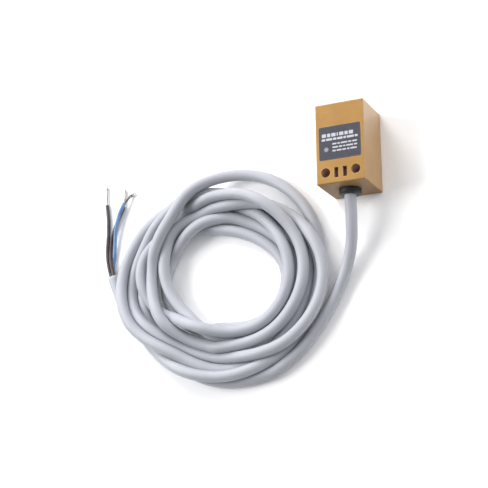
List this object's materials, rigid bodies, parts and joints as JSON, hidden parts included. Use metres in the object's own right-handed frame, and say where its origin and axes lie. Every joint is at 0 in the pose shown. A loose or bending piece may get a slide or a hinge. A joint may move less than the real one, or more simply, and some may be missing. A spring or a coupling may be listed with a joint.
{
  "type": "proximity sensor",
  "caption": "Rectangular inductive proximity sensor, screw-mounted, with an indicator window and a moulded three-core cable that ends in bare cores.",
  "frame": {"origin": "centre of the mounting face (the back of the case), which lies on the surface at z = 0", "axes": "+Z out of the label face, +Y towards the sensing end, +X to the right seen from the label; the cable leaves along -Y"},
  "size_m": [0.1075, 0.0895, 0.0171],
  "materials": {
    "case_plastic": "satin moulded golden-yellow ABS",
    "cover_plastic": "satin moulded golden-yellow ABS",
    "label_film": "dark slate printed film",
    "window_plastic": "frosted light guide",
    "led_resin": "tinted lens",
    "board_laminate": "solder-masked glass laminate",
    "chip_moulding": "moulded epoxy",
    "capacitor_moulding": "moulded epoxy",
    "chip_ceramic": "fired ceramic",
    "ferrite": "pressed and ground ferrite",
    "bobbin_plastic": "natural nylon",
    "copper_wire": "enamelled copper wire",
    "resin": "cast red-brown epoxy",
    "grommet_rubber": "moulded black rubber",
    "ferrule_metal": "plated steel",
    "cable_jacket": "light blue-grey PVC jacket",
    "core_brown": "PVC insulation",
    "core_blue": "PVC insulation",
    "core_black": "PVC insulation",
    "solder": "bright solder",
    "tinned_strands": "tinned copper strands"
  },
  "bodies": {
    "root": {"case_shell": "case_plastic", "back_cover": "cover_plastic", "name_label": "label_film", "indicator_window": "window_plastic", "indicator_led": "led_resin", "circuit_board": "board_laminate", "oscillator_chip": "chip_moulding", "output_transistor": "chip_moulding", "protection_diode": "chip_moulding", "filter_capacitor": "capacitor_moulding", "chip_resistors": "chip_moulding", "chip_capacitors": "chip_ceramic", "ferrite_core": "ferrite", "coil_bobbin": "bobbin_plastic", "coil_winding": "copper_wire", "coil_wires": "copper_wire", "potting_resin": "resin", "cable_grommet": "grommet_rubber", "cable_clamp": "ferrule_metal", "inner_jacket": "cable_jacket", "inner_core_brown": "core_brown", "inner_core_blue": "core_blue", "inner_core_black": "core_black", "solder_joints": "solder", "cable_lead": "cable_jacket", "cable_coil": "cable_jacket", "cable_tail": "cable_jacket", "core_brown": "core_brown", "core_blue": "core_blue", "core_black": "core_black", "strand_brown": "tinned_strands", "strand_blue": "tinned_strands", "strand_black": "tinned_strands"}
  },
  "joints": []
}
